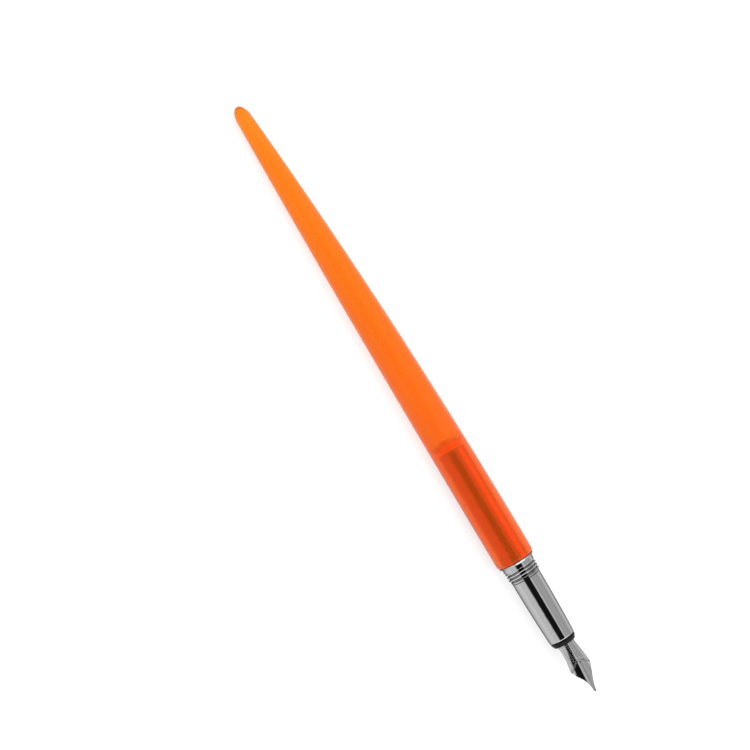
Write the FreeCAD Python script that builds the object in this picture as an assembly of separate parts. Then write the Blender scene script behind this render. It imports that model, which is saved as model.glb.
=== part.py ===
"""Long quill-shaped cartridge pen with a dip-pen outline, lying along X with its nib towards +X and facing up.

The frosted barrel is a gently bowed taper with a rounded tail. A plated collar and a plated tube are fixed in its
bore: the collar has a flange and the cap's thread outside and the section's thread inside, the tube lines the room for
the cartridge. The grip screws into the collar and carries a seal ring. A housing sits in the grip, holds the nib and
the feed from the front, and pierces the cartridge with its spigot.

All lengths are millimetres. The part is first built with the pen's axis on the X axis, then lifted by the barrel's
largest radius, so that the origin is at the middle of the length on the surface that the pen lies on.
"""

import FreeCAD
import Part

import math
import os

from FreeCAD import Vector

X_AXIS = Vector(1, 0, 0)
Y_AXIS = Vector(0, 1, 0)
ORIGIN = Vector(0, 0, 0)
FAR = 20.0  # larger than any radius here, for tools that only have to reach outside

# Overall.
TOTAL_LENGTH = 210.0
BARREL_LENGTH = 162.45
COLLAR_LENGTH = 6.15
GRIP_LENGTH = 22.05
HOUSING_RING_LENGTH = 1.75
TAIL_X = -TOTAL_LENGTH / 2
MOUTH_X = TAIL_X + BARREL_LENGTH
SHOULDER_X = MOUTH_X + COLLAR_LENGTH
GRIP_FRONT_X = SHOULDER_X + GRIP_LENGTH
RING_FRONT_X = GRIP_FRONT_X + HOUSING_RING_LENGTH
TIP_X = TOTAL_LENGTH / 2

FIT = 0.02  # gap per side between pieces that are glued or pressed together
RUNNING = 0.05  # gap per side between pieces that slide or turn

# Barrel.
BARREL_RADIUS = 6.25
TAPER_DROP = 3.70  # how much thinner the barrel is at TAPER_REACH behind its mouth
TAPER_REACH = 156.5
TAPER_POWER = 2.2
NOSE_LENGTH = 4.2  # the rounded tail
BOW_RADIUS = 4280.0  # the barrel's centre line is an arc that leaves the mouth straight
BOW_TURN = math.radians(29)  # it bows downwards, turned this much towards -Y
BOW_WAY = Vector(0, -math.sin(BOW_TURN), -math.cos(BOW_TURN))
MOUTH_ROUNDING = 0.9
BORE_RADIUS = 4.45
BORE_DEPTH = 39.2  # to where the domed end of the bore starts
BORE_END_HEIGHT = 4.2
BARREL_SECTIONS = 10
NOSE_SECTIONS = 9

# Collar, and the tube behind it.
FLANGE_RADIUS = 5.85
FLANGE_LENGTH = 0.8
FLANGE_SLOPE_LENGTH = 0.5  # its front is a cone that ends in a small step
FLANGE_SLOPE_DROP = 0.4
FLANGE_STEP_LENGTH = 0.06
LAND_RADIUS = 5.15
LAND_LENGTH = 1.35
LAND_BEVEL_LENGTH = 0.3
LAND_BEVEL_DROP = 0.22
COLLAR_SPIGOT_LENGTH = 3.0  # the part of the collar that is inside the barrel
TUBE_INNER_RADIUS = 3.95
COLLAR_RING_RADIUS = 4.8
COLLAR_RING_LENGTH = 0.6
CAP_THREAD_ROOT = 4.6
CAP_THREAD_CREST = 5.12
CAP_THREAD_ROOT_HALF = 0.50  # half the width of the ridge at its foot and at its flat crest
CAP_THREAD_CREST_HALF = 0.13
CAP_THREAD_RUN_IN = 0.35  # how far the cap thread starts inside the plain land
CAP_THREAD_RUN_OUT = 0.2
COLLAR_THREAD_MAJOR = 4.08
COLLAR_THREAD_MINOR = 3.72
COLLAR_THREAD_BORE_LENGTH = 7.2
THREAD_PITCH = 1.0
CAP_THREAD_PITCH = 1.07
THREAD_ROOT_HALF = 0.36  # the same for the section's thread
THREAD_CREST_HALF = 0.10
THREAD_RUN_OUT = 0.3  # plain length left at each end of a thread
THREAD_OVERLAP = 0.05  # how deep a thread ridge is sunk into its core

# Grip and its tenon.
GRIP_REAR_RADIUS = 4.72
GRIP_MID_RADIUS = 4.60
GRIP_FRONT_RADIUS = 4.26
GRIP_ROUNDING = 0.4  # its front edge
TENON_LENGTH = 8.0
TENON_ROOT = 3.62
TENON_CREST = 3.98
TENON_BORE = 3.0
HOUSING_BORE = 3.35
HOUSING_SEAT_DEPTH = 16.0
TENON_THREAD_LENGTH = 5.8

# Seal ring in the groove between the grip's shoulder and its thread.
SEAL_WIRE_RADIUS = 0.38
SEAL_RING_RADIUS = 3.72
SEAL_SEAT_DEPTH = 1.4

# Housing.
HOUSING_SOCKET_RADIUS = 2.90
HOUSING_SOCKET_DEPTH = 11.2
HOUSING_RING_RADIUS = 4.12
HOUSING_RING_FRONT_RADIUS = 3.58
HOUSING_STEM_RADIUS = 2.6
HOUSING_STEM_LENGTH = 4.4
SPIGOT_RADIUS = 1.15
SPIGOT_LENGTH = 4.4
INK_HOLE_RADIUS = 0.6

# Nib: a formed sheet. Each station gives the ridge's height, the arc's radius and its half angle.
SHEET = 0.28
NIB_REAR_X = RING_FRONT_X - 10.8
SHOULDER_OF_NIB_X = TIP_X - 8.7
NIB_STATIONS = [
    # distance behind the tip, ridge height, arc radius, half angle in degrees
    (TIP_X - NIB_REAR_X, 2.86, 2.86, 95.0),
    (TIP_X - RING_FRONT_X, 2.86, 2.86, 95.0),
    (16.3, 2.86, 2.95, 80.0),
    (13.0, 2.83, 3.85, 56.0),
    (8.7, 2.62, 4.90, 50.0),
    (6.0, 2.37, 5.50, 38.0),
    (3.0, 1.98, 5.70, 32.0),
    (0.0, 1.56, 5.80, 30.0),
]
NIB_BASE_HALF_WIDTH = 4.2  # outside the sheet, so that the rear is left as formed
NIB_SHOULDER_HALF_WIDTH = 3.62
NIB_SHOULDER_ROUNDING = 0.7
TINE_REAR = (7.7, 3.02)  # distance behind the tip, half width
TINE_MIDDLE = (4.1, 1.28)
TINE_FRONT = (0.55, 0.33)
TIP_HALF_WIDTH = 0.20
BREATHER_X = TIP_X - 10.6
BREATHER_RADIUS = 0.25
SLIT_WIDTH = 0.09
TIPPING_RADIUS = 0.36
TIPPING_LENGTH = 0.62

# Feed.
FEED_RADIUS = 2.54
FEED_SKIRT_RADIUS = 2.84
FEED_FRONT_X = TIP_X - 3.9
FEED_CHIN_X = TIP_X - 9.6
FIN_COUNT = 11
FIN_PITCH = 0.62
FIN_GAP = 0.26
FIN_FIRST_X = RING_FRONT_X + 0.9
FIN_CORE_RADIUS = 1.75
FIN_TOP = 1.3  # the gaps stop below the nib
KEEL_HALF_WIDTH = 0.42
INK_CHANNEL_WIDTH = 0.5
INK_CHANNEL_DEPTH = 0.9
FEED_TAIL_RADIUS = 1.0
FEED_TAIL_LENGTH = 3.4

# Cartridge.
CARTRIDGE_LENGTH = 38.2
CARTRIDGE_FRONT_X = SHOULDER_X + 1.3
CARTRIDGE_NECK_RADIUS = 2.75
CARTRIDGE_NECK_LENGTH = 9.4
CARTRIDGE_RADIUS = 3.6
CARTRIDGE_CONE_LENGTH = 3.0
CARTRIDGE_WALL = 0.5
CARTRIDGE_PLUG_LENGTH = 4.6
BALL_RADIUS = 1.28
BALL_X = MOUTH_X - 10.0


def cylinder(radius, start_x, end_x):
    return Part.makeCylinder(radius, end_x - start_x, Vector(start_x, 0, 0), X_AXIS)


def lathe(outline):
    """Solid turned about the X axis from a closed outline of edges in the XY plane, all at Y of 0 or more."""
    face = Part.Face(Part.Wire(Part.__sortEdges__(outline)))
    return face.revolve(ORIGIN, X_AXIS, 360)


def lines(points):
    """The edges that join (x, radius) points in order."""
    spots = [Vector(x, r, 0) for x, r in points]
    return [Part.makeLine(a, b) for a, b in zip(spots, spots[1:])]


def arc(start, middle, end):
    """An arc through three (x, radius) points."""
    return Part.Arc(*[Vector(x, r, 0) for x, r in (start, middle, end)]).toShape()


def turned(points):
    """Solid turned from a closed polygon of (x, radius) points."""
    return lathe(lines(points + points[:1]))


def ridge(pitch, start_x, end_x, inner_radius, outer_radius, inner_half, outer_half):
    """Right-handed helical ridge about X, with a trapezium section, trimmed square at both ends."""
    length = end_x - start_x
    path = Part.makeHelix(pitch, length + 2 * pitch, inner_radius)
    corners = [
        Vector(inner_radius, 0, -inner_half),
        Vector(outer_radius, 0, -outer_half),
        Vector(outer_radius, 0, outer_half),
        Vector(inner_radius, 0, inner_half),
    ]
    section = Part.makePolygon(corners + corners[:1])
    solid = Part.Wire(path).makePipeShell([section], True, True)
    solid.rotate(ORIGIN, Y_AXIS, 90)
    solid.translate(Vector(start_x - pitch, 0, 0))
    return solid.common(cylinder(FAR, start_x, end_x))


def with_thread(body, thread):
    """The body with a thread ridge joined on, checked because a failed union drops the ridge silently."""
    joined = body.fuse(thread)
    if joined.Volume < body.Volume + 0.2 * thread.Volume:
        raise RuntimeError("the thread was lost in the union")
    return joined


def barrel_radius(behind_mouth):
    """The barrel's outer radius: a power-law taper, closed by an elliptical nose at the tail."""
    taper = BARREL_RADIUS - TAPER_DROP * (behind_mouth / TAPER_REACH) ** TAPER_POWER
    into_nose = max(0.0, behind_mouth - (BARREL_LENGTH - NOSE_LENGTH)) / NOSE_LENGTH
    return taper * math.sqrt(1 - into_nose**2)


def barrel_section(behind_mouth):
    """A circle square to the barrel's bowed centre line."""
    turn = math.asin(behind_mouth / BOW_RADIUS)
    centre = Vector(MOUTH_X - behind_mouth, 0, 0) + BOW_WAY * (BOW_RADIUS * (1 - math.cos(turn)))
    along = X_AXIS * math.cos(turn) - BOW_WAY * math.sin(turn)
    circle = Part.makeCircle(barrel_radius(behind_mouth), centre, along)
    return Part.Wire(circle)


def barrel_body():
    """Outside of the barrel as two lofts: the long taper, then the rounded tail."""
    taper_end = BARREL_LENGTH - NOSE_LENGTH
    taper = [
        barrel_section(taper_end * i / (BARREL_SECTIONS - 1))
        for i in range(BARREL_SECTIONS)
    ]
    nose = [
        barrel_section(
            taper_end + NOSE_LENGTH * math.sin(math.radians(88.0 * i / NOSE_SECTIONS))
        )
        for i in range(NOSE_SECTIONS + 1)
    ]
    return Part.makeLoft(taper, True).fuse(Part.makeLoft(nose, True))


def barrel():
    body = barrel_body()
    mouth = [
        e
        for e in body.Edges
        if abs(e.BoundBox.Center.x - MOUTH_X) < 0.01 and e.BoundBox.XLength < 0.01
    ]
    body = body.makeFillet(MOUTH_ROUNDING, mouth)
    dome_x = MOUTH_X - BORE_DEPTH
    end_x = dome_x - BORE_END_HEIGHT
    middle = (dome_x - BORE_END_HEIGHT * math.sqrt(0.5), BORE_RADIUS * math.sqrt(0.5))
    dome = arc((end_x, 0), middle, (dome_x, BORE_RADIUS))
    rest = lines(
        [(dome_x, BORE_RADIUS), (MOUTH_X + 1, BORE_RADIUS), (MOUTH_X + 1, 0), (end_x, 0)]
    )
    return body.cut(lathe([dome] + rest))


def collar():
    """Plated brass: flange, cap thread and front ring outside the barrel, and the section's thread inside."""
    spigot = BORE_RADIUS - FIT
    rear_x = MOUTH_X - COLLAR_SPIGOT_LENGTH
    slope_end_x = MOUTH_X + FLANGE_LENGTH - FLANGE_STEP_LENGTH
    land_end_x = MOUTH_X + FLANGE_LENGTH + LAND_LENGTH
    ring_x = SHOULDER_X - COLLAR_RING_LENGTH
    seal_seat_x = SHOULDER_X - SEAL_SEAT_DEPTH
    thread_rear_x = seal_seat_x - COLLAR_THREAD_BORE_LENGTH
    seal_seat = SEAL_RING_RADIUS + SEAL_WIRE_RADIUS + RUNNING
    edge = 0.12
    body = turned(
        [
            (rear_x, TUBE_INNER_RADIUS),
            (rear_x, spigot),
            (MOUTH_X, spigot),
            (MOUTH_X, BARREL_RADIUS - MOUTH_ROUNDING),
            (MOUTH_X + edge, FLANGE_RADIUS),
            (slope_end_x - FLANGE_SLOPE_LENGTH, FLANGE_RADIUS),
            (slope_end_x, FLANGE_RADIUS - FLANGE_SLOPE_DROP),
            (MOUTH_X + FLANGE_LENGTH, LAND_RADIUS),
            (land_end_x, LAND_RADIUS),
            (land_end_x + LAND_BEVEL_LENGTH, LAND_RADIUS - LAND_BEVEL_DROP),
            (land_end_x + LAND_BEVEL_LENGTH + edge, CAP_THREAD_ROOT),
            (ring_x - edge, CAP_THREAD_ROOT),
            (ring_x, COLLAR_RING_RADIUS),
            (SHOULDER_X - edge, COLLAR_RING_RADIUS),
            (SHOULDER_X, COLLAR_RING_RADIUS - edge),
            (SHOULDER_X, seal_seat),
            (seal_seat_x, seal_seat),
            (seal_seat_x, COLLAR_THREAD_MAJOR),
            (thread_rear_x, COLLAR_THREAD_MAJOR),
            (thread_rear_x, TUBE_INNER_RADIUS),
        ]
    )
    cap_thread = ridge(
        CAP_THREAD_PITCH,
        land_end_x - CAP_THREAD_RUN_IN,
        ring_x - CAP_THREAD_RUN_OUT,
        CAP_THREAD_ROOT - 2 * THREAD_OVERLAP,
        CAP_THREAD_CREST,
        CAP_THREAD_ROOT_HALF,
        CAP_THREAD_CREST_HALF,
    )
    section_thread = ridge(
        THREAD_PITCH,
        thread_rear_x + THREAD_RUN_OUT,
        seal_seat_x - THREAD_RUN_OUT,
        COLLAR_THREAD_MINOR,
        COLLAR_THREAD_MAJOR + THREAD_OVERLAP,
        THREAD_CREST_HALF,
        THREAD_ROOT_HALF,
    )
    return with_thread(with_thread(body, cap_thread), section_thread)


def cartridge_tube():
    """Plated tube that lines the bore behind the collar."""
    rear_x = MOUTH_X - BORE_DEPTH
    front_x = MOUTH_X - COLLAR_SPIGOT_LENGTH - FIT
    wall = cylinder(BORE_RADIUS - FIT, rear_x, front_x)
    return wall.cut(cylinder(TUBE_INNER_RADIUS, rear_x - 1, front_x + 1))


def grip():
    """Plated brass sleeve, slimmer towards the nib, with a threaded tenon behind its shoulder."""
    shoulder_x = SHOULDER_X + FIT
    tenon_x = SHOULDER_X - TENON_LENGTH
    groove_x = SHOULDER_X - SEAL_SEAT_DEPTH
    groove = SEAL_RING_RADIUS - SEAL_WIRE_RADIUS - FIT
    seat_x = GRIP_FRONT_X - HOUSING_SEAT_DEPTH
    edge = 0.15
    round_x = GRIP_FRONT_X - GRIP_ROUNDING
    round_radius = GRIP_FRONT_RADIUS - GRIP_ROUNDING
    middle = GRIP_ROUNDING * math.sqrt(0.5)
    outside = arc(
        (shoulder_x + edge, GRIP_REAR_RADIUS),
        ((SHOULDER_X + GRIP_FRONT_X) / 2, GRIP_MID_RADIUS),
        (round_x, GRIP_FRONT_RADIUS),
    )
    front_edge = arc(
        (round_x, GRIP_FRONT_RADIUS),
        (round_x + middle, round_radius + middle),
        (GRIP_FRONT_X, round_radius),
    )
    rest = lines(
        [
            (GRIP_FRONT_X, round_radius),
            (GRIP_FRONT_X, HOUSING_BORE),
            (seat_x, HOUSING_BORE),
            (seat_x, TENON_BORE),
            (tenon_x, TENON_BORE),
            (tenon_x, TENON_ROOT - edge),
            (tenon_x + edge, TENON_ROOT),
            (groove_x, TENON_ROOT),
            (groove_x, groove),
            (shoulder_x, groove),
            (shoulder_x, GRIP_REAR_RADIUS - edge),
            (shoulder_x + edge, GRIP_REAR_RADIUS),
        ]
    )
    thread_rear_x = groove_x - THREAD_RUN_OUT - TENON_THREAD_LENGTH
    thread = ridge(
        THREAD_PITCH,
        thread_rear_x,
        groove_x - THREAD_RUN_OUT,
        TENON_ROOT - THREAD_OVERLAP,
        TENON_CREST,
        THREAD_ROOT_HALF,
        THREAD_CREST_HALF,
    )
    # Turned so that its ridge stands midway between the ridges inside the collar.
    collar_thread_rear_x = groove_x - COLLAR_THREAD_BORE_LENGTH + THREAD_RUN_OUT
    turns = (thread_rear_x - collar_thread_rear_x) / THREAD_PITCH - 0.5
    thread.rotate(ORIGIN, X_AXIS, 360 * turns)
    return with_thread(lathe([outside, front_edge] + rest), thread)


def seal_ring():
    return Part.makeTorus(
        SEAL_RING_RADIUS,
        SEAL_WIRE_RADIUS,
        Vector(SHOULDER_X - SEAL_SEAT_DEPTH / 2, 0, 0),
        X_AXIS,
    )


def nib_housing():
    """Black moulding: front ring, socket for nib and feed, then the stem and spigot that take the cartridge."""
    body = HOUSING_BORE - FIT
    seat_x = GRIP_FRONT_X - HOUSING_SEAT_DEPTH + FIT
    stem_x = seat_x - HOUSING_STEM_LENGTH
    socket_x = RING_FRONT_X - HOUSING_SOCKET_DEPTH
    edge = 0.12
    outer = turned(
        [
            (stem_x, 0),
            (stem_x, HOUSING_STEM_RADIUS),
            (seat_x, HOUSING_STEM_RADIUS),
            (seat_x, body),
            (GRIP_FRONT_X + FIT, body),
            (GRIP_FRONT_X + FIT, HOUSING_RING_RADIUS - edge),
            (GRIP_FRONT_X + FIT + edge, HOUSING_RING_RADIUS),
            (GRIP_FRONT_X + HOUSING_RING_LENGTH / 3, HOUSING_RING_RADIUS),
            (RING_FRONT_X - edge, HOUSING_RING_FRONT_RADIUS + edge / 2),
            (RING_FRONT_X, HOUSING_RING_FRONT_RADIUS - edge / 2),
            (RING_FRONT_X, 0),
        ]
    )
    spigot = cylinder(SPIGOT_RADIUS, stem_x - SPIGOT_LENGTH, stem_x + 0.5)
    slant = Part.makeBox(4, 8, 8, Vector(-4, -4, -4))
    slant.rotate(ORIGIN, Y_AXIS, 30)
    slant.translate(Vector(stem_x - SPIGOT_LENGTH + 0.2, 0, 0))
    socket = cylinder(HOUSING_SOCKET_RADIUS, socket_x, RING_FRONT_X + 1)
    feed_tail_hole = cylinder(
        FEED_TAIL_RADIUS + RUNNING, socket_x - FEED_TAIL_LENGTH - 0.2, socket_x + 1
    )
    ink_hole = cylinder(INK_HOLE_RADIUS, stem_x - SPIGOT_LENGTH - 1, socket_x)
    return (
        outer.fuse(spigot.cut(slant)).cut(socket).cut(feed_tail_hole).cut(ink_hole)
    )


def nib_arc(station, shrink, legs):
    """One closed section of the nib, or with legs, of the space under it.

    shrink is how far the arc lies inside the sheet's outer face.
    """
    behind_tip, height, radius, half_angle = station
    x = TIP_X - behind_tip
    centre_z = height - radius

    def at(distance, degrees):
        turn = math.radians(degrees)
        return Vector(
            x, distance * math.sin(turn), centre_z + distance * math.cos(turn)
        )

    def bow(distance, angle):
        return Part.Arc(
            at(distance, -angle), at(distance, 0), at(distance, angle)
        ).toShape()

    if legs:
        reach = radius - shrink
        angle = min(half_angle, 80.0)
        left, right = at(reach, -angle), at(reach, angle)
        low_left = Vector(x, left.y, -FAR / 4)
        low_right = Vector(x, right.y, -FAR / 4)
        edges = [
            bow(reach, angle),
            Part.makeLine(right, low_right),
            Part.makeLine(low_right, low_left),
            Part.makeLine(low_left, left),
        ]
    else:
        edges = [
            bow(radius, half_angle),
            Part.makeLine(at(radius, half_angle), at(radius - SHEET, half_angle)),
            bow(radius - SHEET, half_angle),
            Part.makeLine(at(radius - SHEET, -half_angle), at(radius, -half_angle)),
        ]
    return Part.Wire(Part.__sortEdges__(edges))


def nib_loft(shrink=0.0, legs=False):
    """The nib's sheet before it is cut to outline, or the space under it: a straight rear, then the formed front."""
    rear = [nib_arc(s, shrink, legs) for s in NIB_STATIONS[:2]]
    front = [nib_arc(s, shrink, legs) for s in NIB_STATIONS[1:]]
    return Part.makeLoft(rear, True, True).fuse(Part.makeLoft(front, True))


def nib_outline():
    """Prism of the nib's outline seen from above."""
    rear_x = NIB_REAR_X - 1
    shoulder_x = SHOULDER_OF_NIB_X
    rounding = NIB_SHOULDER_ROUNDING
    tine_rear = Vector(TIP_X - TINE_REAR[0], TINE_REAR[1], 0)
    tine_middle = Vector(TIP_X - TINE_MIDDLE[0], TINE_MIDDLE[1], 0)
    tine_front = Vector(TIP_X - TINE_FRONT[0], TINE_FRONT[1], 0)
    shoulder = Vector(shoulder_x - rounding, NIB_SHOULDER_HALF_WIDTH + 0.1, 0)
    corner = Vector(shoulder_x + 0.35 * rounding, NIB_SHOULDER_HALF_WIDTH - 0.14, 0)
    tip = Vector(TIP_X, TIP_HALF_WIDTH, 0)
    half = [
        Part.makeLine(
            Vector(rear_x, NIB_BASE_HALF_WIDTH, 0),
            Vector(shoulder.x, NIB_BASE_HALF_WIDTH, 0),
        ),
        Part.makeLine(Vector(shoulder.x, NIB_BASE_HALF_WIDTH, 0), shoulder),
        Part.Arc(shoulder, corner, tine_rear).toShape(),
        Part.Arc(tine_rear, tine_middle, tine_front).toShape(),
        Part.makeLine(tine_front, tip),
    ]
    other = [e.mirror(ORIGIN, Y_AXIS) for e in half]
    ends = [
        Part.makeLine(tip, Vector(tip.x, -tip.y, 0)),
        Part.makeLine(
            Vector(rear_x, NIB_BASE_HALF_WIDTH, 0),
            Vector(rear_x, -NIB_BASE_HALF_WIDTH, 0),
        ),
    ]
    face = Part.Face(Part.Wire(Part.__sortEdges__(half + other + ends)))
    face.translate(Vector(0, 0, -FAR / 2))
    return face.extrude(Vector(0, 0, FAR))


def slit():
    return Part.makeBox(
        TIP_X - BREATHER_X + 2, SLIT_WIDTH, FAR, Vector(BREATHER_X, -SLIT_WIDTH / 2, -2)
    )


def nib():
    """Stainless sheet: two tines, a slit and a breather hole."""
    breather = Part.makeCylinder(BREATHER_RADIUS, FAR, Vector(BREATHER_X, 0, 0))
    return nib_loft().common(nib_outline()).cut(slit()).cut(breather)


def tipping(side):
    """Hard pellet welded under the tip and split by the slit; side is +1 for the half at +Y and -1 for the other."""
    pellet = Part.makeSphere(TIPPING_RADIUS)
    stretch = FreeCAD.Matrix()
    stretch.scale(TIPPING_LENGTH / TIPPING_RADIUS, 1, 1)
    pellet = pellet.transformGeometry(stretch)
    height = NIB_STATIONS[-1][1] - SHEET - 0.12
    pellet.translate(Vector(TIP_X - TIPPING_LENGTH, 0, height))
    half = Part.makeBox(FAR, FAR, FAR, Vector(TIP_X - FAR / 2, 0, -FAR / 2))
    if side < 0:
        half.translate(Vector(0, -FAR, 0))
    return pellet.cut(nib_loft()).cut(slit()).common(half)


def feed_side():
    """Prism of the feed's outline seen from the side, with its chin rising to a thin front."""
    rear_x = NIB_REAR_X
    floor = -FEED_SKIRT_RADIUS - 0.5
    chin = Vector(FEED_CHIN_X, 0, floor)
    middle = Vector(FEED_CHIN_X + 3.4, 0, -1.35)
    front = Vector(FEED_FRONT_X, 0, 1.15)
    roof = Vector(FEED_FRONT_X, 0, 4)
    edges = [
        Part.makeLine(Vector(rear_x, 0, floor), chin),
        Part.Arc(chin, middle, front).toShape(),
        Part.makeLine(front, roof),
        Part.makeLine(roof, Vector(rear_x, 0, 4)),
        Part.makeLine(Vector(rear_x, 0, 4), Vector(rear_x, 0, floor)),
    ]
    face = Part.Face(Part.Wire(Part.__sortEdges__(edges)))
    face.translate(Vector(0, -FAR / 2, 0))
    return face.extrude(Vector(0, FAR, 0))


def feed_top():
    """Prism of the feed's outline seen from above, kept inside the tines."""
    rear_x = NIB_REAR_X
    taper_x = SHOULDER_OF_NIB_X - 0.5
    half = [
        (rear_x, FEED_SKIRT_RADIUS + 0.5),
        (taper_x, FEED_SKIRT_RADIUS + 0.5),
        (taper_x, FEED_RADIUS),
        (TIP_X - 6.4, 1.75),
        (FEED_FRONT_X, 0.55),
    ]
    corners = half + [(x, -y) for x, y in reversed(half)]
    spots = [Vector(x, y, -FAR / 2) for x, y in corners]
    face = Part.Face(Part.makePolygon(spots + spots[:1]))
    return face.extrude(Vector(0, 0, FAR))


def feed():
    """Black moulding under the nib: finned core, ink channel, and a tail that reaches the ink hole."""
    skirt_end_x = RING_FRONT_X - 0.3
    core = cylinder(FEED_RADIUS, NIB_REAR_X, TIP_X)
    skirt = cylinder(FEED_SKIRT_RADIUS, NIB_REAR_X, skirt_end_x).common(
        Part.makeBox(
            FAR * 2, FAR, FAR, Vector(NIB_REAR_X, -FAR / 2, -FAR - 0.35)
        )
    )
    body = core.fuse(skirt).common(feed_side()).common(feed_top())
    body = body.common(nib_loft(SHEET + FIT, legs=True))
    keel = Part.makeBox(
        FAR * 2, 2 * KEEL_HALF_WIDTH, FAR, Vector(NIB_REAR_X, -KEEL_HALF_WIDTH, -FAR)
    )
    roof = Part.makeBox(FAR * 2, FAR, FAR, Vector(NIB_REAR_X, -FAR / 2, FIN_TOP))
    for i in range(FIN_COUNT):
        start_x = FIN_FIRST_X + i * FIN_PITCH
        gap = cylinder(FEED_SKIRT_RADIUS + 1, start_x, start_x + FIN_GAP).cut(
            cylinder(FIN_CORE_RADIUS, start_x - 1, start_x + 1)
        )
        body = body.cut(gap.cut(keel).cut(roof))
    channel = Part.makeBox(
        FAR * 2,
        INK_CHANNEL_WIDTH,
        FAR,
        Vector(NIB_REAR_X - 1, -INK_CHANNEL_WIDTH / 2, FEED_RADIUS - INK_CHANNEL_DEPTH),
    )
    tail = cylinder(FEED_TAIL_RADIUS, NIB_REAR_X - FEED_TAIL_LENGTH, NIB_REAR_X + 1)
    tail_channel = Part.makeBox(
        FEED_TAIL_LENGTH + 1,
        INK_CHANNEL_WIDTH,
        FAR,
        Vector(NIB_REAR_X - FEED_TAIL_LENGTH - 1, -INK_CHANNEL_WIDTH / 2, 0.2),
    )
    return body.cut(channel).fuse(tail.cut(tail_channel))


def cartridge_profile(inset, front_x):
    """(x, radius) points of the cartridge, inset from its outer face, from its front to its rear."""
    rear_x = CARTRIDGE_FRONT_X - CARTRIDGE_LENGTH + inset
    neck_end_x = CARTRIDGE_FRONT_X - CARTRIDGE_NECK_LENGTH
    cone_end_x = neck_end_x - CARTRIDGE_CONE_LENGTH
    rounding = 1.2
    return [
        (front_x, 0),
        (front_x, CARTRIDGE_NECK_RADIUS - inset),
        (neck_end_x, CARTRIDGE_NECK_RADIUS - inset),
        (cone_end_x, CARTRIDGE_RADIUS - inset),
        (rear_x + rounding, CARTRIDGE_RADIUS - inset - 0.1),
        (rear_x + 0.3 * rounding, CARTRIDGE_RADIUS - inset - 0.45),
        (rear_x, CARTRIDGE_RADIUS - inset - rounding),
        (rear_x, 0),
    ]


def cartridge_shell():
    """Soft plastic bottle with a thick neck, pierced by the spigot."""
    cavity_front_x = CARTRIDGE_FRONT_X - CARTRIDGE_PLUG_LENGTH
    outside = turned(cartridge_profile(0, CARTRIDGE_FRONT_X))
    inside = turned(cartridge_profile(CARTRIDGE_WALL, cavity_front_x))
    hole = cylinder(SPIGOT_RADIUS + RUNNING, cavity_front_x - 1, CARTRIDGE_FRONT_X + 1)
    return outside.cut(inside).cut(hole)


def sealing_ball():
    """Small ball that closed the neck until the spigot pushed it into the ink."""
    return Part.makeSphere(BALL_RADIUS, Vector(BALL_X, 0, -0.6))


def ink():
    front_x = CARTRIDGE_FRONT_X - CARTRIDGE_PLUG_LENGTH - FIT
    fill = turned(cartridge_profile(CARTRIDGE_WALL + FIT, front_x))
    room = Part.makeSphere(BALL_RADIUS + FIT, Vector(BALL_X, 0, -0.6))
    return fill.cut(room)


PIECES = {
    "barrel": barrel,
    "collar": collar,
    "cartridge_tube": cartridge_tube,
    "seal_ring": seal_ring,
    "grip": grip,
    "nib_housing": nib_housing,
    "nib": nib,
    "tipping_left": lambda: tipping(1),
    "tipping_right": lambda: tipping(-1),
    "feed": feed,
    "cartridge_shell": cartridge_shell,
    "cartridge_ball": sealing_ball,
    "ink": ink,
}


def main():
    os.makedirs("parts", exist_ok=True)
    for name, make in PIECES.items():
        shape = make()
        shape.translate(Vector(0, 0, BARREL_RADIUS))
        solids = shape.Solids
        kept = solids[0] if len(solids) == 1 else Part.makeCompound(solids)
        kept.exportStep(f"parts/{name}.step")
        box = kept.BoundBox
        print(
            f"{name}: {len(solids)} solid(s), valid {kept.isValid()}, {kept.Volume:.2f} mm3, "
            f"x {box.XMin:.2f} {box.XMax:.2f}, y {box.YMin:.2f} {box.YMax:.2f}, "
            f"z {box.ZMin:.2f} {box.ZMax:.2f}"
        )


main()
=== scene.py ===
import math

import bmesh
import bpy
from mathutils import Matrix, Vector


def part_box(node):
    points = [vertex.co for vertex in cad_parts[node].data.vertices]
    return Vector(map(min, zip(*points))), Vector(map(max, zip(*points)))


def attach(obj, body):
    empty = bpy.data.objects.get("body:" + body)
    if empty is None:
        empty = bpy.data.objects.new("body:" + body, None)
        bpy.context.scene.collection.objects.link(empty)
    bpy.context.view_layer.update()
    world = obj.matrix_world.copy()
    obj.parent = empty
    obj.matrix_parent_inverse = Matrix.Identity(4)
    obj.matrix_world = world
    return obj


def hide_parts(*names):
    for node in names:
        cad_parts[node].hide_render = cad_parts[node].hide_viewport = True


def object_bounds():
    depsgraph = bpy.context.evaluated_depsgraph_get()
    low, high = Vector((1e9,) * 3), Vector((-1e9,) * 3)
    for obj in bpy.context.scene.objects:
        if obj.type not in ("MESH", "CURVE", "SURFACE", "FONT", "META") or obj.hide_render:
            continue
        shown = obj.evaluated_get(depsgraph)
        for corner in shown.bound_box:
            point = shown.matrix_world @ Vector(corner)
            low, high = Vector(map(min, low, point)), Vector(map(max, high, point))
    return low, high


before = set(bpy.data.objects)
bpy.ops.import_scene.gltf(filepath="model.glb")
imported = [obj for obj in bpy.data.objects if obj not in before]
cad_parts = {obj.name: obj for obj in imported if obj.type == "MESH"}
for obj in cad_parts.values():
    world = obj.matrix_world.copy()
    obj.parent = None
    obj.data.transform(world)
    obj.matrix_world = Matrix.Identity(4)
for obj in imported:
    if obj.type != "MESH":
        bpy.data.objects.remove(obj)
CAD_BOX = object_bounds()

MM = 0.001
ALONG_PEN = Vector((1, 0, 0))

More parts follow.
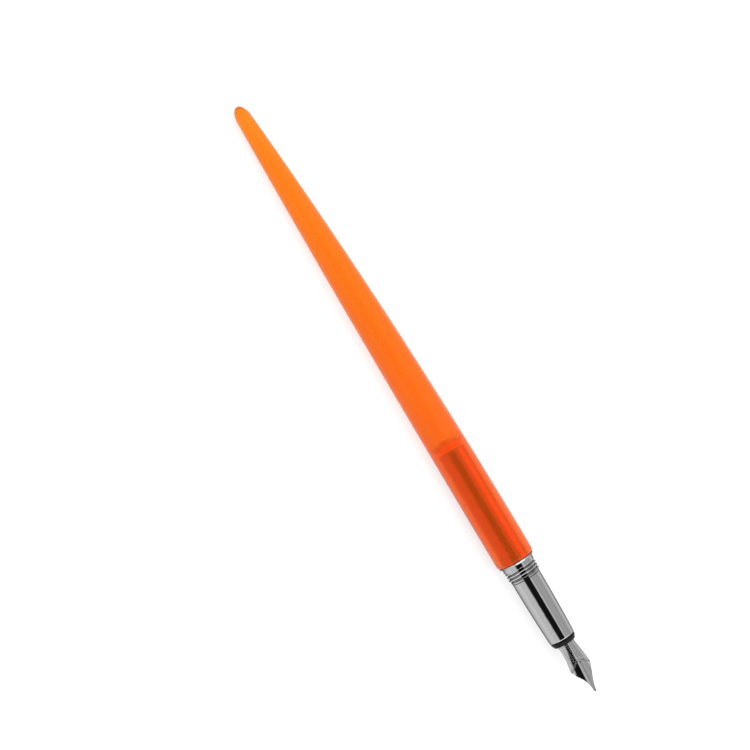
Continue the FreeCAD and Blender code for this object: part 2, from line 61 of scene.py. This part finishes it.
# The pen lies along X with its nib towards +X. Its front section is straight, and gives the axis that all is
# set out on.
GRIP_LOW, GRIP_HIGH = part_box("grip")
BARREL_LOW, BARREL_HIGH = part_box("barrel")
TUBE_REAR_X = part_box("cartridge_tube")[0].x
NIB_LOW, NIB_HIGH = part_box("nib")
HOUSING_FRONT_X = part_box("nib_housing")[1].x
AXIS = Vector((0, (GRIP_LOW.y + GRIP_HIGH.y) / 2, (GRIP_LOW.z + GRIP_HIGH.z) / 2))
MOUTH_X = BARREL_HIGH.x
TAIL_X = BARREL_LOW.x
TIP_X = NIB_HIGH.x

# The photographer's view: from above and a little to the nib's right, with the tail slightly nearer.
ROLL_OFF_TOP = math.radians(21.0)
TAIL_NEARER = math.radians(6.5)
PEN_LEAN = math.radians(30.82)
CAMERA_DISTANCE = 1.5
FIELD_WIDTH = 0.2284
PEN_OFF_CENTRE = (0.01373, 0.00751)  # how far right of and below the picture's centre the pen's middle lies


# ---------------------------------------------------------------- shapes

def place_object(name, data):
    made = bpy.data.objects.new(name, data)
    bpy.context.scene.collection.objects.link(made)
    return made


# The barrel. Lengths along it are measured backwards from its mouth.
BARREL_RADIUS = min(BARREL_HIGH.z - AXIS.z, BARREL_HIGH.y - AXIS.y)
BARREL_LENGTH = MOUTH_X - TAIL_X
TAPER_DROP = 3.7 * MM
TAPER_REACH = 156.5 * MM
TAPER_POWER = 2.2
NOSE_LENGTH = 4.2 * MM  # the rounded tail
BOW_RADIUS = 4.28
BOW_TURN = math.radians(29)
BOW_WAY = Vector((0, -math.sin(BOW_TURN), -math.cos(BOW_TURN)))  # mostly downwards, and a little to -Y
BESIDE_BOW = ALONG_PEN.cross(BOW_WAY)
MOUTH_ROUNDING = 0.9 * MM
BORE_RADIUS = 4.45 * MM
BORE_END_HEIGHT = 4.2 * MM  # the dome that closes the bore
BARREL_SEGMENTS = 128


def tube_of_rings(name, rings, segments, material):
    """A closed skin over rings of (centre, two directions across, radius); a ring of no radius is a pole."""
    points, rows, faces = [], [], []
    for centre, first_way, second_way, radius in rings:
        first = len(points)
        count = segments if radius > 0 else 1
        for i in range(count):
            angle = 2 * math.pi * i / segments
            side = first_way * math.cos(angle) + second_way * math.sin(angle)
            points.append(centre + side * radius)
        rows.append((first, count))
    for (a, a_count), (b, b_count) in zip(rows, rows[1:]):
        for i in range(segments):
            j = (i + 1) % segments
            corners = [a + i % a_count, a + j % a_count, b + j % b_count, b + i % b_count]
            faces.append(list(dict.fromkeys(corners)))
    data = bpy.data.meshes.new(name)
    data.from_pydata(points, [], faces)
    data.validate()
    data.materials.append(material)
    data.shade_smooth()
    mesh = bmesh.new()
    mesh.from_mesh(data)
    bmesh.ops.recalc_face_normals(mesh, faces=mesh.faces)
    mesh.to_mesh(data)
    mesh.free()
    return place_object(name, data)


def arc_points(centre, radii, start, end, count):
    """(x, radius) points on an elliptical arc, with angles in degrees from the +X direction."""
    turns = [math.radians(start + (end - start) * i / count) for i in range(count + 1)]
    return [(centre[0] + radii[0] * math.cos(t), centre[1] + radii[1] * math.sin(t)) for t in turns]


def barrel_radius(behind_mouth):
    taper = BARREL_RADIUS - TAPER_DROP * (behind_mouth / TAPER_REACH) ** TAPER_POWER
    into_nose = max(0.0, behind_mouth - (BARREL_LENGTH - NOSE_LENGTH)) / NOSE_LENGTH
    return taper * math.sqrt(max(0.0, 1 - into_nose ** 2))


def bowed_ring(behind_mouth, radius):
    """A ring square to the barrel's centre line, which is an arc that leaves the mouth straight."""
    turn = math.asin(behind_mouth / BOW_RADIUS)
    centre = AXIS + Vector((MOUTH_X - behind_mouth, 0, 0)) + BOW_WAY * (BOW_RADIUS * (1 - math.cos(turn)))
    inward = BOW_WAY * math.cos(turn) + ALONG_PEN * math.sin(turn)
    return centre, inward, BESIDE_BOW, radius


def straight_ring(x, radius):
    return AXIS + Vector((x, 0, 0)), BOW_WAY, BESIDE_BOW, radius


def barrel(material):
    """The frosted barrel: rounded tail, bowed taper, rounded mouth and the domed blind bore."""
    nose_start = BARREL_LENGTH - NOSE_LENGTH
    nose_steps, taper_steps, bore_steps = 24, 90, 12
    nose_turns = [math.pi / 2 * i / nose_steps for i in range(1, nose_steps)]
    behind = [nose_start + NOSE_LENGTH * math.cos(turn) for turn in nose_turns]
    behind += [nose_start * (1 - i / taper_steps) for i in range(taper_steps)]
    rings = [bowed_ring(BARREL_LENGTH, 0.0)]
    rings += [bowed_ring(b, barrel_radius(b)) for b in behind if b > MOUTH_ROUNDING]
    corner = (MOUTH_X - MOUTH_ROUNDING, BARREL_RADIUS - MOUTH_ROUNDING)
    mouth = arc_points(corner, (MOUTH_ROUNDING, MOUTH_ROUNDING), 90, 0, 10)
    rings += [straight_ring(x, r) for x, r in mouth]
    bore_step = (MOUTH_X - TUBE_REAR_X) / bore_steps
    rings += [straight_ring(MOUTH_X, BORE_RADIUS), straight_ring(MOUTH_X - 0.1 * MM, BORE_RADIUS)]
    rings += [straight_ring(MOUTH_X - bore_step * i, BORE_RADIUS) for i in range(1, bore_steps)]
    dome = arc_points((TUBE_REAR_X, 0.0), (BORE_END_HEIGHT, BORE_RADIUS), 90, 180, 20)
    rings += [straight_ring(x, r) for x, r in dome[:-1]]
    rings += [straight_ring(TUBE_REAR_X - BORE_END_HEIGHT, 0.0)]
    return tube_of_rings("barrel_frosted", rings, BARREL_SEGMENTS, material)


# The nib, in millimetres. Lengths along it are measured backwards from its tip.
NIB_LENGTH = (TIP_X - NIB_LOW.x) / MM
NIB_EXPOSED = (TIP_X - HOUSING_FRONT_X) / MM
# Distance behind the tip, the ridge's height over the axis, the arc's radius, and its half angle in degrees.
NIB_STATIONS = [
    (0.0, 1.56, 5.80, 30.0), (3.0, 1.98, 5.70, 32.0), (6.0, 2.37, 5.50, 38.0), (8.7, 2.62, 4.90, 50.0),
    (13.0, 2.83, 3.85, 56.0), (16.3, 2.86, 2.95, 80.0),
    (NIB_EXPOSED, 2.86, 2.86, 95.0), (NIB_LENGTH, 2.86, 2.86, 95.0)]
# Distance behind the tip, and the outline's half width there, back to the shoulder.
NIB_OUTLINE = [
    (0.0, 0.20), (0.55, 0.33), (2.2, 0.66), (4.1, 1.28), (5.9, 2.10), (7.7, 3.02), (8.455, 3.48),
    (8.95, 3.68), (9.4, 3.72)]
NIB_THICKNESS = 0.28
BREATHER_BEHIND = 10.6
BREATHER_RADIUS = 0.25
HALF_SLIT = 0.045
NIB_COLUMNS = 30


def line_slope(rows, k, column):
    """The slope of the straight line from row k to the next."""
    return (rows[k + 1][column] - rows[k][column]) / (rows[k + 1][0] - rows[k][0])


def curve_slope(rows, k, column):
    """The slope of the smooth curve at row k: level where the straight lines beside it turn back."""
    last = len(rows) - 1
    if k == 0 or k == last:
        return line_slope(rows, min(k, last - 1), column)
    before, after = line_slope(rows, k - 1, column), line_slope(rows, k, column)
    return 0.0 if before * after <= 0 else 2 * before * after / (before + after)


def between(rows, place):
    """The values at a place between rows of (place, value, value...), on a smooth curve through them."""
    place = min(max(place, rows[0][0]), rows[-1][0])
    i = max(k for k in range(len(rows) - 1) if rows[k][0] <= place)
    width = rows[i + 1][0] - rows[i][0]
    t = (place - rows[i][0]) / width
    return [
        rows[i][column] * (1 + 2 * t) * (1 - t) ** 2
        + curve_slope(rows, i, column) * width * t * (1 - t) ** 2
        + rows[i + 1][column] * t * t * (3 - 2 * t)
        + curve_slope(rows, i + 1, column) * width * t * t * (t - 1)
        for column in range(1, len(rows[0]))]


def nib_slot(behind_tip):
    """Half the width of the opening on the nib's middle line: the slit, the breather hole, or nothing."""
    off = behind_tip - BREATHER_BEHIND
    slit = HALF_SLIT if off < 0 else 0.0
    hole = math.sqrt(max(0.0, BREATHER_RADIUS ** 2 - off ** 2))
    return max(slit, hole)


def nib_rows():
    """Where the nib has a row of points: close together on the tines, and closest round the breather hole."""
    rows = [0.1 * i for i in range(101)] + [10.0 + 0.3 * i for i in range(1, 61)] + [NIB_LENGTH]
    rows = [b for b in rows if abs(b - BREATHER_BEHIND) > BREATHER_RADIUS + 0.02]
    rows += [BREATHER_BEHIND - BREATHER_RADIUS * math.cos(math.pi * i / 16) for i in range(17)]
    return sorted(set(round(b, 5) for b in rows))


def nib_section(mesh, side, behind):
    """One row of points on half of the nib: the outer face from the middle outwards, then the inner face."""
    height, radius, half_angle = between(NIB_STATIONS, behind)
    outer = math.radians(half_angle)
    shoulder = NIB_OUTLINE[-1][0]
    if behind < shoulder:
        outer = min(outer, math.asin(between(NIB_OUTLINE, behind)[0] / radius))
    inner = math.asin(nib_slot(behind) / radius)
    line = []
    for depth in (0.0, NIB_THICKNESS):
        for i in range(NIB_COLUMNS + 1):
            turn = inner + (outer - inner) * i / NIB_COLUMNS
            y = side * (radius - depth) * math.sin(turn)
            z = height - radius + (radius - depth) * math.cos(turn)
            line.append(mesh.verts.new(AXIS + Vector((TIP_X - behind * MM, y * MM, z * MM))))
    return line


def nib(material):
    """The nib as a formed sheet of even thickness, with its slit and breather hole open."""
    rows = nib_rows()
    count = NIB_COLUMNS + 1
    round_section = [(i, i + 1) for i in range(NIB_COLUMNS)] + [(NIB_COLUMNS, 2 * count - 1)]
    round_section += [(count + i + 1, count + i) for i in range(NIB_COLUMNS)]
    mesh = bmesh.new()
    for side in (1, -1):
        grid = [nib_section(mesh, side, behind) for behind in rows]
        for k, (near, far) in enumerate(zip(grid, grid[1:])):
            for a, b in round_section:
                mesh.faces.new((near[a], near[b], far[b], far[a]))
            if nib_slot(rows[k]) > 0 or nib_slot(rows[k + 1]) > 0:
                mesh.faces.new((near[count], near[0], far[0], far[count]))
        for line in (grid[0], grid[-1]):
            for i in range(NIB_COLUMNS):
                mesh.faces.new((line[i], line[i + 1], line[count + i + 1], line[count + i]))
    bmesh.ops.remove_doubles(mesh, verts=mesh.verts, dist=1e-7)
    bmesh.ops.recalc_face_normals(mesh, faces=mesh.faces)
    data = bpy.data.meshes.new("nib_sheet")
    mesh.to_mesh(data)
    mesh.free()
    data.materials.append(material)
    data.shade_smooth()
    data.set_sharp_from_angle(angle=math.radians(40))
    return place_object("nib_sheet", data)


# ---------------------------------------------------------------- materials

class Nodes:
    """A few short ways to add and join shader nodes in one tree."""

    def __init__(self, tree):
        self.tree = tree

    def add(self, kind, **settings):
        node = self.tree.nodes.new(kind)
        for name, value in settings.items():
            setattr(node, name, value)
        return node

    def join(self, source, target):
        self.tree.links.new(source, target)

    def maths(self, operation, *values):
        """One sum, whose values are numbers or sockets."""
        node = self.add("ShaderNodeMath", operation=operation)
        for socket, value in zip(node.inputs, values):
            if isinstance(value, (int, float)):
                socket.default_value = value
            else:
                self.join(value, socket)
        return node.outputs[0]

    def ramp(self, factor, stops):
        """A colour ramp from (position, (r, g, b)) stops."""
        node = self.add("ShaderNodeValToRGB")
        points = node.color_ramp.elements
        while len(points) < len(stops):
            points.new(1.0)
        for point, (position, colour) in zip(points, stops):
            point.position = position
            point.color = (*colour, 1)
        self.join(factor, node.inputs["Fac"])
        return node.outputs["Color"]

    def grey_ramp(self, factor, stops):
        """A ramp from (position, value) stops."""
        return self.ramp(factor, [(position, (value, value, value)) for position, value in stops])

    def noise(self, position, scale, detail=3.0):
        node = self.add("ShaderNodeTexNoise")
        node.inputs["Scale"].default_value = scale
        node.inputs["Detail"].default_value = detail
        self.join(position, node.inputs["Vector"])
        return node.outputs["Fac"]

    def spread(self, factor, low, high, start=0.0, end=1.0):
        """Maps start..end to low..high, and holds those ends."""
        node = self.add("ShaderNodeMapRange")
        for name, value in (("From Min", start), ("From Max", end), ("To Min", low), ("To Max", high)):
            node.inputs[name].default_value = value
        self.join(factor, node.inputs["Value"])
        return node.outputs["Result"]

    def bump(self, height, distance, strength):
        node = self.add("ShaderNodeBump")
        node.inputs["Distance"].default_value = distance
        node.inputs["Strength"].default_value = strength
        self.join(height, node.inputs["Height"])
        return node.outputs["Normal"]

    def parts(self, position):
        """A position's X, Y and Z sockets, by name."""
        node = self.add("ShaderNodeSeparateXYZ")
        self.join(position, node.inputs[0])
        return node.outputs

    def joined(self, **sockets):
        """A position made of the sockets given for X, Y or Z."""
        node = self.add("ShaderNodeCombineXYZ")
        for name, socket in sockets.items():
            self.join(socket, node.inputs[name])
        return node.outputs[0]

    def off_axis(self, parts):
        """How far a position is from the pen's axis."""
        across = self.joined(
            Y=self.maths("SUBTRACT", parts["Y"], AXIS.y), Z=self.maths("SUBTRACT", parts["Z"], AXIS.z))
        node = self.add("ShaderNodeVectorMath", operation="LENGTH")
        self.join(across, node.inputs[0])
        return node.outputs["Value"]


def new_material(name, **sockets):
    """A Principled material with plain values on its sockets, with its nodes, its shader and a position."""
    made = bpy.data.materials.new(name)
    made.use_nodes = True
    nodes = Nodes(made.node_tree)
    shader = made.node_tree.nodes["Principled BSDF"]
    for socket, value in sockets.items():
        shader.inputs[socket.replace("_", " ")].default_value = value
    position = nodes.add("ShaderNodeTexCoord").outputs["Object"]
    return made, nodes, shader, position


def speckled(name, noise, colours, roughness, stretch=None, **sockets):
    """A material whose colour (ramp stops) and roughness (low, high) follow one noise of (scale, detail)."""
    made, nodes, shader, position = new_material(name, **sockets)
    if stretch:
        mapping = nodes.add("ShaderNodeMapping")
        mapping.inputs["Scale"].default_value = stretch
        nodes.join(position, mapping.inputs["Vector"])
        position = mapping.outputs["Vector"]
    grain = nodes.noise(position, *noise)
    nodes.join(nodes.ramp(grain, colours), shader.inputs["Base Color"])
    nodes.join(nodes.spread(grain, *roughness), shader.inputs["Roughness"])
    return made


def frosted_plastic():
    """Orange acrylic, frosted outside and smoother in the bore, yellower where the barrel is slim."""
    made, nodes, shader, position = new_material("frosted_orange", IOR=1.47, Specular_IOR_Level=0.1)
    shader.inputs["Specular Tint"].default_value = (1.0, 0.55, 0.25, 1)
    parts = nodes.parts(position)
    along = nodes.spread(parts["X"], 0.0, 1.0, TAIL_X, MOUTH_X)
    cloud = nodes.maths("MULTIPLY", nodes.maths("SUBTRACT", nodes.noise(position, 120.0, 4.0), 0.5), 0.12)
    cloud = nodes.maths("MULTIPLY", cloud, nodes.maths("LESS_THAN", along, 0.66))  # none over the tube
    tint = nodes.ramp(nodes.maths("ADD", along, cloud), [
        (0.0, (1.0, 0.290, 0.018)), (0.12, (1.0, 0.250, 0.012)), (0.35, (1.0, 0.215, 0.010)),
        (0.6, (1.0, 0.185, 0.011)), (0.725, (1.0, 0.165, 0.012)), (0.745, (1.0, 0.130, 0.010)),
        (1.0, (1.0, 0.125, 0.010))])
    nodes.join(tint, shader.inputs["Base Color"])
    in_front_of_dome = nodes.maths("GREATER_THAN", parts["X"], TUBE_REAR_X - BORE_END_HEIGHT - 0.5 * MM)
    near_axis = nodes.maths("LESS_THAN", nodes.off_axis(parts), BORE_RADIUS + 0.1 * MM)
    in_bore = nodes.maths("MULTIPLY", in_front_of_dome, near_axis)
    frost = nodes.spread(nodes.noise(position, 6000.0, 2.0), 0.21, 0.26)
    rough = nodes.maths("SUBTRACT", frost, nodes.maths("MULTIPLY", in_bore, 0.06))
    nodes.join(rough, shader.inputs["Roughness"])
    over_tube = nodes.maths("GREATER_THAN", parts["X"], TUBE_REAR_X)
    clear = nodes.maths("MAXIMUM", nodes.spread(over_tube, 0.72, 0.78), in_bore)
    nodes.join(clear, shader.inputs["Transmission Weight"])
    return made


# How bright the metals stay towards a grazing angle, where a low value darkens their outlines.
PLATING_EDGE = (0.15, 0.15, 0.15, 1)
NIB_EDGE = (0.3, 0.3, 0.3, 1)


def plated_metal():
    return speckled(
        "bright_plating", (9000.0, 2.0), [(0.3, (0.415, 0.415, 0.42)), (0.7, (0.45, 0.45, 0.455))],
        (0.04, 0.08), stretch=(1.0, 0.15, 0.15), Metallic=1.0, Specular_Tint=PLATING_EDGE)


# Radii between which the collar's colour runs from painted groove shade, through a painted crest highlight,
# to the land's plain tone.
THREAD_ROOT_RADIUS = 4.60 * MM
COLLAR_LAND_RADIUS = 5.15 * MM


def collar_metal():
    """The same plating, with painted shade darkening the cap thread's grooves and a painted highlight
    brightening its crests.
    """
    made, nodes, shader, position = new_material("collar_plating", Metallic=1.0, Specular_Tint=PLATING_EDGE)
    parts = nodes.parts(position)
    height = nodes.spread(nodes.off_axis(parts), 0.0, 1.0, THREAD_ROOT_RADIUS, COLLAR_LAND_RADIUS)
    painted_groove_shade_crest_highlight = nodes.maths("ADD", height, nodes.maths("MULTIPLY", nodes.noise(position, 3000.0), 0.05))
    inside_barrel = nodes.maths("LESS_THAN", parts["X"], MOUTH_X)
    painted_groove_shade_crest_highlight = nodes.maths("MAXIMUM", painted_groove_shade_crest_highlight, inside_barrel)
    # Painted shade in the grooves (dark near the thread's root) and a painted highlight near the crests; the
    # land and the part inside the barrel keep a plain mid tone.
    colour = nodes.ramp(painted_groove_shade_crest_highlight, [
        (0.02, (0.22, 0.22, 0.225)), (0.35, (0.38, 0.38, 0.385)), (0.80, (0.80, 0.80, 0.805)),
        (1.0, (0.44, 0.44, 0.445))])
    nodes.join(colour, shader.inputs["Base Color"])
    nodes.join(nodes.spread(painted_groove_shade_crest_highlight, 0.12, 0.05), shader.inputs["Roughness"])
    return made


def tube_metal():
    return speckled(
        "tube_plating", (2500.0, 2.0), [(0.3, (0.46, 0.44, 0.43)), (0.7, (0.50, 0.48, 0.47))],
        (0.10, 0.16), Metallic=1.0)


def black_plastic():
    return speckled(
        "black_moulding", (3500.0,), [(0.3, (0.003, 0.003, 0.0035)), (0.8, (0.006, 0.006, 0.0065))],
        (0.22, 0.34), IOR=1.49, Specular_IOR_Level=0.08)


# The nib's engraving, in millimetres: a chevron of two lines that points back, and dots behind it.
CHEVRON_TOP_BEHIND = 11.6
CHEVRON_SLOPE = 0.79
CHEVRON_LINES = ((0.0, 0.16), (0.55, 0.07))  # each line's distance behind the chevron, and half its width
PLAIN_BESIDE_SLIT = 0.35
DOTS_START = 0.9
DOTS_HALF_WIDTH = 2.6
DOTS_PER_MM = 1.3
DOT_RADIUS = 0.22  # in widths of a dot's cell, as is the next
DOT_HALF_LINE = 0.07


def engraving(nodes, position):
    """How deeply each place on the nib is cut, from 0 to 1."""
    parts = nodes.parts(position)
    behind = nodes.maths("MULTIPLY", nodes.maths("SUBTRACT", TIP_X, parts["X"]), 1 / MM)
    off_middle = nodes.maths("MULTIPLY", nodes.maths("ABSOLUTE", parts["Y"]), 1 / MM)
    fall = nodes.maths("MULTIPLY", off_middle, CHEVRON_SLOPE)
    past_chevron = nodes.maths("SUBTRACT", behind, nodes.maths("SUBTRACT", CHEVRON_TOP_BEHIND, fall))
    beside_slit = nodes.maths("GREATER_THAN", off_middle, PLAIN_BESIDE_SLIT)
    on_lines = []
    for distance, half_width in CHEVRON_LINES:
        off_line = nodes.maths("ABSOLUTE", nodes.maths("SUBTRACT", past_chevron, distance))
        on_line = nodes.maths("LESS_THAN", off_line, half_width)
        on_lines.append(nodes.maths("MULTIPLY", on_line, beside_slit))
    cells = nodes.add("ShaderNodeTexVoronoi", voronoi_dimensions="2D")
    cells.inputs["Scale"].default_value = DOTS_PER_MM
    cells.inputs["Randomness"].default_value = 0.25
    nodes.join(nodes.joined(X=behind, Y=off_middle), cells.inputs["Vector"])
    off_dot = nodes.maths("ABSOLUTE", nodes.maths("SUBTRACT", cells.outputs["Distance"], DOT_RADIUS))
    in_field = nodes.maths(
        "MULTIPLY", nodes.maths("GREATER_THAN", past_chevron, DOTS_START),
        nodes.maths("LESS_THAN", off_middle, DOTS_HALF_WIDTH))
    dots = nodes.maths("MULTIPLY", nodes.maths("LESS_THAN", off_dot, DOT_HALF_LINE), in_field)
    return nodes.maths("MAXIMUM", nodes.maths("MAXIMUM", *on_lines), nodes.maths("MULTIPLY", dots, 0.6))


def nib_steel():
    """Polished steel, with its engraving darker, rougher and sunk."""
    made, nodes, shader, position = new_material("nib_steel", Metallic=1.0, Specular_Tint=NIB_EDGE)
    cut = engraving(nodes, position)
    grain = nodes.noise(position, 5000.0)
    polished = nodes.ramp(grain, [(0.3, (0.42, 0.42, 0.425)), (0.7, (0.47, 0.47, 0.475))])
    shown = nodes.add("ShaderNodeMix", data_type="RGBA")
    nodes.join(nodes.maths("MULTIPLY", cut, 0.85), shown.inputs["Factor"])
    nodes.join(polished, shown.inputs["A"])
    shown.inputs["B"].default_value = (0.10, 0.10, 0.105, 1)
    nodes.join(shown.outputs["Result"], shader.inputs["Base Color"])
    nodes.join(nodes.spread(cut, 0.05, 0.26), shader.inputs["Roughness"])
    nodes.join(nodes.bump(nodes.maths("SUBTRACT", 1.0, cut), 0.03 * MM, 0.6), shader.inputs["Normal"])
    return made


def tipping_metal():
    return speckled(
        "tipping_alloy", (20000.0,), [(0.3, (0.42, 0.42, 0.44)), (0.7, (0.55, 0.55, 0.57))], (0.25, 0.4),
        Metallic=1.0)


def seal_rubber():
    return speckled(
        "seal_rubber", (4000.0,), [(0.3, (0.012, 0.012, 0.012)), (0.8, (0.03, 0.03, 0.03))], (0.55, 0.75))


def cartridge_plastic():
    return speckled(
        "milky_polyethylene", (400.0,), [(0.3, (0.62, 0.66, 0.70)), (0.7, (0.72, 0.75, 0.78))],
        (0.35, 0.5), IOR=1.5)


def ink_liquid():
    return speckled(
        "blue_ink", (300.0,), [(0.3, (0.004, 0.008, 0.06)), (0.7, (0.008, 0.014, 0.10))],
        (0.05, 0.12), IOR=1.34)


def floor_material():
    """A pale studio sheet that gives off some light of its own, so that it shows as white."""
    made, nodes, shader, position = new_material("studio_floor", Roughness=0.9, Specular_IOR_Level=0.0)
    shader.inputs["Emission Color"].default_value = (1, 1, 1, 1)
    shader.inputs["Emission Strength"].default_value = 0.62
    cloud = nodes.noise(position, 3.0, 2.0)
    nodes.join(nodes.grey_ramp(cloud, [(0.3, 0.315), (0.7, 0.325)]), shader.inputs["Base Color"])
    return made


# ---------------------------------------------------------------- studio

ABOVE_PEN = Matrix.Rotation(ROLL_OFF_TOP, 3, "X") @ Vector((0, 0, 1))
TOWARDS_CAMERA = (ABOVE_PEN * math.cos(TAIL_NEARER) - ALONG_PEN * math.sin(TAIL_NEARER)).normalized()
FLOOR_HALF_SIZE = 6.0

# How bright the surroundings are round the pen, by degrees from the camera's side: (degrees, brightness).
# Dark where the camera stands, so that the metal shows one dark stripe, and pale all round otherwise.
ROUND_PEN = [
    (-180, 0.25), (-115, 0.275), (-90, 0.40), (-60, 0.44), (-31, 0.43), (-25, 0.20), (-21.5, 0.006),
    (19.5, 0.006), (24, 0.40), (30, 0.41), (38, 0.27), (60, 0.30), (80, 0.27), (95, 0.30), (110, 0.475),
    (179, 0.5)]
# The same along the pen, from straight behind its tail (0) to straight ahead of its nib (1).
# The first list says how much of the brightness round the pen shows, and the second what shows at its ends.
SHARE_ALONG_PEN = [(0.0, 0.0), (0.22, 0.0), (0.30, 1.0), (0.80, 1.0), (0.86, 0.0), (1.0, 0.0)]
BEYOND_ENDS = [(0.0, 0.25), (0.22, 0.12), (0.30, 0.0), (0.80, 0.0), (0.86, 1.0), (1.0, 1.0)]
SURROUNDINGS_STRENGTH = 2.45


def picture_axes():
    """The picture's right and down directions: the pen's front section leans by PEN_LEAN from upright."""
    along = (ALONG_PEN - TOWARDS_CAMERA * ALONG_PEN.dot(TOWARDS_CAMERA)).normalized()
    across = TOWARDS_CAMERA.cross(along)
    right = along * math.sin(PEN_LEAN) + across * math.cos(PEN_LEAN)
    down = along * math.cos(PEN_LEAN) - across * math.sin(PEN_LEAN)
    return right, down


def camera():
    right, down = picture_axes()
    middle = (CAD_BOX[0] + CAD_BOX[1]) / 2
    aim = middle - right * PEN_OFF_CENTRE[0] - down * PEN_OFF_CENTRE[1]
    data = bpy.data.cameras.new("camera")
    data.sensor_width = 36.0
    data.lens = data.sensor_width * CAMERA_DISTANCE / FIELD_WIDTH
    data.clip_start, data.clip_end = 0.01, 50.0
    made = place_object("camera", data)
    turn = Matrix((right, -down, TOWARDS_CAMERA)).transposed().to_4x4()
    made.matrix_world = Matrix.Translation(aim + TOWARDS_CAMERA * CAMERA_DISTANCE) @ turn
    bpy.context.scene.camera = made


def floor():
    data = bpy.data.meshes.new("floor")
    corners = [(x * FLOOR_HALF_SIZE, y * FLOOR_HALF_SIZE, 0) for x, y in ((-1, -1), (1, -1), (1, 1), (-1, 1))]
    data.from_pydata(corners, [], [(0, 1, 2, 3)])
    data.materials.append(floor_material())
    made = place_object("floor", data)


def surroundings():
    """A pale studio all round, as the world's light."""
    world = bpy.data.worlds.new("studio")
    bpy.context.scene.world = world
    world.use_nodes = True
    nodes = Nodes(world.node_tree)
    direction = nodes.add("ShaderNodeTexCoord").outputs["Generated"]
    front = (TOWARDS_CAMERA - ALONG_PEN * TOWARDS_CAMERA.x).normalized()
    side = Vector((0, front.z, -front.y))
    shares = []
    for axis in (side, front, ALONG_PEN):
        node = nodes.add("ShaderNodeVectorMath", operation="DOT_PRODUCT")
        nodes.join(direction, node.inputs[0])
        node.inputs[1].default_value = axis
        shares.append(node.outputs["Value"])
    angle = nodes.maths("ARCTAN2", shares[0], shares[1])
    turn = nodes.maths("MULTIPLY_ADD", angle, 0.5 / math.pi, 0.5)
    along_pen = nodes.maths("MULTIPLY_ADD", shares[2], 0.5, 0.5)
    round_pen = nodes.grey_ramp(turn, [(0.5 + degrees / 360.0, value) for degrees, value in ROUND_PEN])
    shown = nodes.add("ShaderNodeVectorMath", operation="MULTIPLY_ADD")
    share, ends = nodes.grey_ramp(along_pen, SHARE_ALONG_PEN), nodes.grey_ramp(along_pen, BEYOND_ENDS)
    for source, socket in zip((round_pen, share, ends), shown.inputs):
        nodes.join(source, socket)
    light = world.node_tree.nodes["Background"]
    light.inputs["Strength"].default_value = SURROUNDINGS_STRENGTH
    nodes.join(shown.outputs["Vector"], light.inputs["Color"])


def softbox(name, place, size, power, through_plastic=False):
    """A large soft lamp that faces the pen, doesn't show in its gloss, and may shine through the barrel."""
    data = bpy.data.lights.new(name, "AREA")
    data.shape = "RECTANGLE"
    data.size, data.size_y = size
    data.energy = power
    made = place_object(name, data)
    made.location = place
    made.rotation_mode = "QUATERNION"
    made.rotation_quaternion = (-Vector(place)).to_track_quat("-Z", "Y")
    made.visible_glossy = False
    made.visible_transmission = through_plastic
    made.visible_camera = False


def studio():
    floor()
    surroundings()
    softbox("overhead", (0.0, -0.3, 1.6), (2.4, 2.4), 42.0)
    softbox("nib_left_fill", (0.0, 1.15, 1.0), (2.0, 0.9), 10.0, through_plastic=True)
    camera()
    settings = bpy.context.scene.view_settings
    settings.view_transform = "Standard"
    settings.look = "None"


# ---------------------------------------------------------------- the pen

FINISHES = {
    collar_metal: ["collar"],
    plated_metal: ["grip"],
    tube_metal: ["cartridge_tube"],
    black_plastic: ["nib_housing", "feed"],
    tipping_metal: ["tipping_left", "tipping_right"],
    seal_rubber: ["seal_ring"],
    cartridge_plastic: ["cartridge_shell", "cartridge_ball"],
    ink_liquid: ["ink"],
}


def pen():
    skin = barrel(frosted_plastic())
    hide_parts("barrel")
    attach(skin, "barrel")
    sheet = nib(nib_steel())
    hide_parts("nib")
    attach(sheet, "nib_unit")
    for make, names in FINISHES.items():
        material = make()
        for name in names:
            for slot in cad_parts[name].material_slots:
                slot.material = material


pen()
studio()
